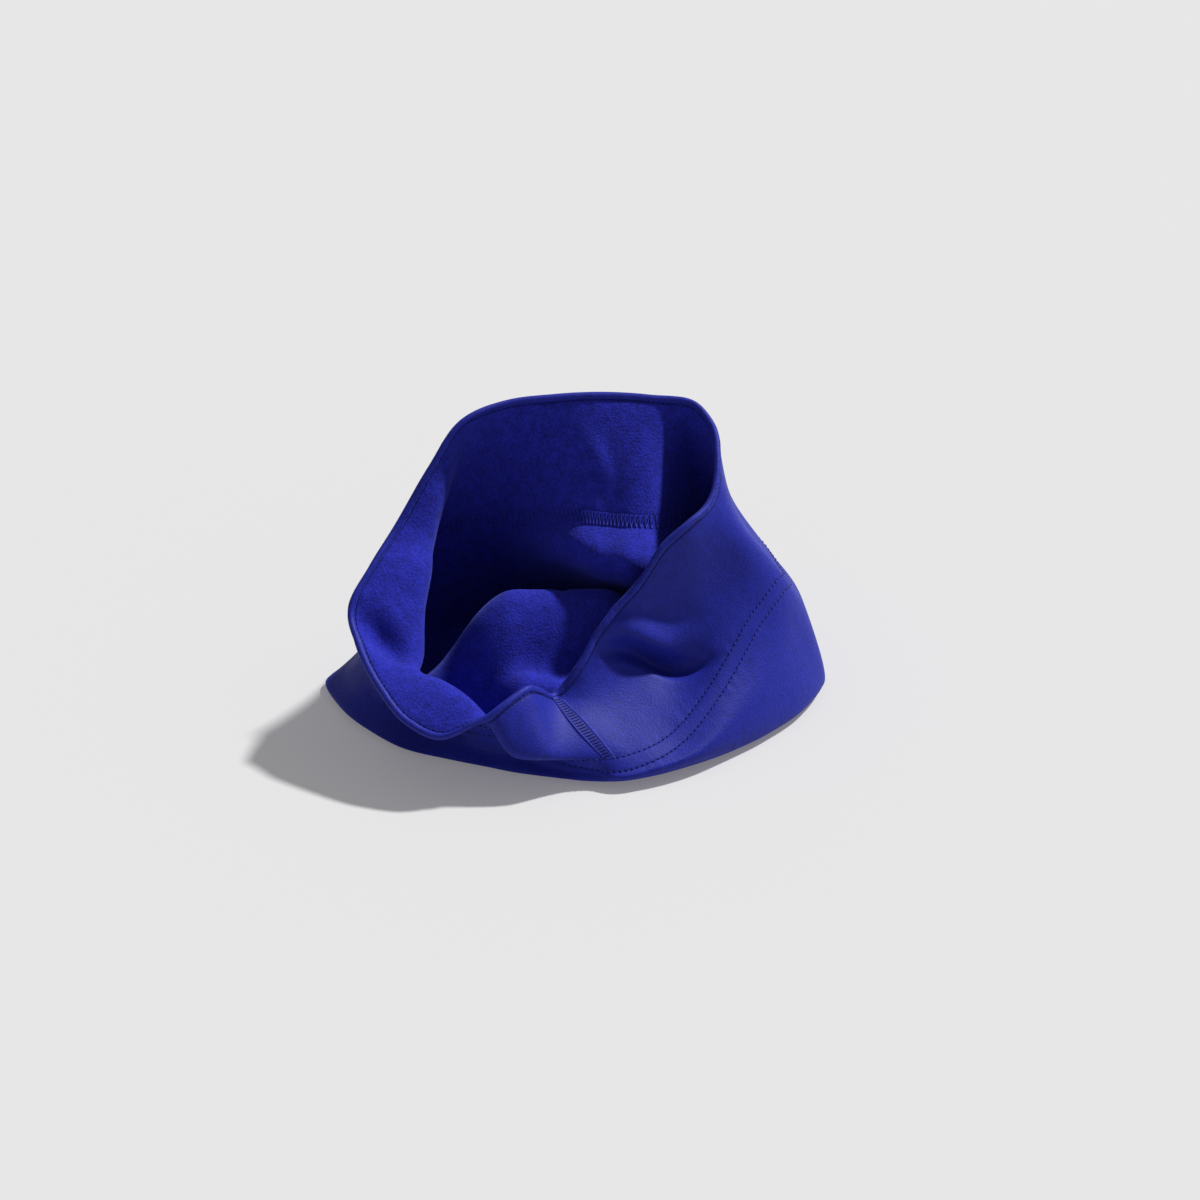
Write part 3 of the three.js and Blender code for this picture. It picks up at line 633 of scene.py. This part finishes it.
def hem_mesh(sheet):
    """The rolled hem, a closed ring that puckers a little."""
    angle = np.arange(HEM_SIDES) * 2 * np.pi / HEM_SIDES
    wave = 1 + HEM_PUCKER * pucker(sheet.turns, HEM_PUCKER_PITCH, 0.4)[:, None]
    lengths = HEM_DEPTH / 2 * (1 + np.cos(angle))[None] * wave
    heights = -CLOTH / 2 + HEM_THICKNESS / 2 * np.sin(angle)[None] * wave
    points, _ = sheet.at(lengths, heights)
    faces = grid_faces(len(sheet.turns), HEM_SIDES, True, True)
    uvs = np.stack([np.repeat(sheet.turns[:, None], HEM_SIDES, 1) * RIM_LENGTH, lengths], axis=-1)
    return new_mesh("hem_roll", points.reshape(-1, 3), faces[:, ::-1], [hem_cloth], None, uvs.reshape(-1, 2))


def lap_mesh(sheet):
    start = sheet.seam - LAP_WIDTH / 2 + LAP_INSET
    stop = sheet.seam + LAP_WIDTH / 2 - LAP_INSET
    return wall("lap_strip", sheet, start, stop, np.linspace(0, 1, LAP_ROWS), LAP_PROUD, LAP_THICKNESS,
                [jersey, brushed], lap_relief)


band, _ = panel("band_cloth", band_turns(), BAND_ROWS, 0.0, CLOTH, band_relief)
crown = crown_mesh()
hem_sheet = Cloth(even(HEM_TURNS))
hem = hem_mesh(hem_sheet)
lap = lap_mesh(hem_sheet)
closure, closure_sheet = panel("closure_strip", np.linspace(-CLOSURE_HALF, CLOSURE_HALF, CLOSURE_COLUMNS),
                               CLOSURE_ROWS, CLOSURE_PROUD, CLOSURE_THICKNESS, None)

# Stitches

fine_ring = Cloth(even(STITCH_TURNS))


def ring_line(lengths, rise):
    """A closed line round the cap at these lengths of cloth: points, outward directions and run."""
    points, out = fine_ring.at(lengths[:, None], np.full((len(lengths), 1), rise))
    points, out = points[:, 0], out[:, 0]
    points, out = np.concatenate([points, points[:1]]), np.concatenate([out, out[:1]])
    run = np.concatenate([[0], np.cumsum(np.linalg.norm(np.diff(points, axis=0), axis=1))])
    return points, out, run


def pick(values, run, at):
    return np.stack([np.interp(at, run, values[:, axis]) for axis in range(3)], axis=-1)


def spread(run, pitch, shares):
    """Places along a line for whole stitches of about one pitch, at these shares of each stitch."""
    count = int(run[-1] / pitch)
    return (np.arange(count)[:, None] + shares[None]) * (run[-1] / count)


def needle_lines(offset):
    """Stitches along one row of the lap, each dipping into the cloth at its ends."""
    points, out, run = ring_line(fine_ring.seam + offset, 0.0)
    at = spread(run, STITCH, NEEDLE_SHARES)
    return pick(points, run, at) + pick(out, run, at) * NEEDLE_RISES[None, :, None]


def ladder_lines():
    """Threads that cross to and fro between the two needle rows on the inner face."""
    rise = -CLOTH - LAP_PROUD - LADDER_RISE
    above, _, _ = ring_line(fine_ring.seam - LAP_WIDTH / 2, rise)
    below, _, _ = ring_line(fine_ring.seam + LAP_WIDTH / 2, rise)
    knots = np.concatenate([fine_ring.turns, [1.0]])
    crossing = np.arange(2 * int(RIM_LENGTH * SEAM_TO_RIM / LADDER_PITCH))
    start = crossing / len(crossing)
    end = (crossing + 1) / len(crossing) % 1
    upward = (crossing % 2 == 1)[:, None]
    first = np.where(upward, pick(below, knots, start), pick(above, knots, start))
    last = np.where(upward, pick(above, knots, end), pick(below, knots, end))
    share = np.linspace(0, 1, 4)[None, :, None]
    return first[:, None] * (1 - share) + last[:, None] * share


def closure_lines():
    """Short threads across the closure on both faces, each a little aslant."""
    strip = float(closure_sheet.seam.mean()) - LAP_WIDTH / 2 - HEM_DEPTH
    count = int(strip / CROSS_PITCH)
    slant = np.linspace(-CROSS_SLANT, CROSS_SLANT, CLOSURE_COLUMNS)[:, None]
    lines = []
    for k in range(count):
        lengths = HEM_DEPTH + CROSS_END + (k + 0.5) * (strip - 2 * CROSS_END) / count + slant
        for rise in (CLOSURE_PROUD + CROSS_RISE, -CLOTH - CLOSURE_PROUD - CROSS_RISE):
            points, _ = closure_sheet.at(lengths, np.full_like(lengths, rise))
            lines.append(points[1:-1, 0])
    return np.array(lines)


def hem_lines(rise):
    """Short threads in the groove beside the hem, on one face of the cloth."""
    points, _, run = ring_line(np.full(STITCH_TURNS, HEM_DEPTH + GROOVE), rise)
    return pick(points, run, spread(run, HEM_STITCH, HEM_STITCH_SHARES))


both_rows = np.concatenate([needle_lines(-LAP_WIDTH / 2), needle_lines(LAP_WIDTH / 2)])
needle_rows = tubes("needle_rows", both_rows, NEEDLE_THREAD, thread_blue)
ladder_threads = tubes("ladder_threads", ladder_lines(), LADDER_THREAD, thread_ladder, sides=5, taper=0.9)
closure_threads = tubes("closure_threads", closure_lines(), CROSS_THREAD, thread_dark)
both_faces = np.concatenate([hem_lines(0.0), hem_lines(-CLOTH)])
hem_stitches = tubes("hem_stitches", both_faces, HEM_THREAD, thread_dark, sides=5)

for piece, node, slot in ((band, "band", "jersey"), (crown, "crown", "fleece"), (hem, "rim_hem", "hem"),
                          (lap, "crown_lap", "lap"), (closure, "closure_seam", "closure")):
    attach(piece, "root")
    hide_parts(node)
for piece, slot in ((needle_rows, "lap"), (ladder_threads, "lap"),
                    (closure_threads, "closure"), (hem_stitches, "hem")):
    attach(piece, "root")

# Floor, light and camera

scene = bpy.context.scene


def pale_glowing_floor():
    material = bpy.data.materials.new("glowing_floor_paper")
    material.use_nodes = True
    shader = material.node_tree.nodes["Principled BSDF"]
    shader.inputs["Base Color"].default_value = (0.495, 0.495, 0.49, 1)
    # The floor glows a little of itself: painted light that lifts the floor's shadow and lights the cloth
    # from below.
    shader.inputs["Emission Color"].default_value = (0.166, 0.161, 0.164, 1)
    shader.inputs["Emission Strength"].default_value = 1.0
    shader.inputs["Roughness"].default_value = 0.85
    shader.inputs["Specular IOR Level"].default_value = 0.2
    corners = np.array([(-1, -1, 0), (1, -1, 0), (1, 1, 0), (-1, 1, 0)]) * FLOOR_HALF
    return new_mesh("floor", corners, [(0, 1, 2, 3)], [material])


def key_light():
    """A soft sun from the right, behind and above."""
    light = bpy.data.lights.new("key", "SUN")
    light.energy = KEY_ENERGY
    light.angle = KEY_ANGLE
    to_key = Vector((math.cos(KEY_AZIMUTH) * math.cos(KEY_ELEVATION),
                     math.sin(KEY_AZIMUTH) * math.cos(KEY_ELEVATION), math.sin(KEY_ELEVATION)))
    key = bpy.data.objects.new("key", light)
    key.rotation_euler = to_key.to_track_quat("Z", "Y").to_euler()
    scene.collection.objects.link(key)


def sky():
    world = bpy.data.worlds.new("studio")
    world.use_nodes = True
    background = world.node_tree.nodes["Background"]
    background.inputs["Color"].default_value = SKY_COLOUR
    background.inputs["Strength"].default_value = SKY_STRENGTH
    scene.world = world


def photo_camera():
    looking = Vector((0, math.cos(CAMERA_TILT), -math.sin(CAMERA_TILT)))
    data = bpy.data.cameras.new("camera")
    data.sensor_width = SENSOR_WIDTH
    data.lens = LENS
    data.clip_end = 20
    camera = bpy.data.objects.new("camera", data)
    camera.location = CAMERA_TARGET - looking * CAMERA_DISTANCE
    camera.rotation_euler = looking.to_track_quat("-Z", "Y").to_euler()
    scene.collection.objects.link(camera)
    scene.camera = camera


pale_glowing_floor()
key_light()
sky()
photo_camera()
scene.view_settings.view_transform = "Standard"
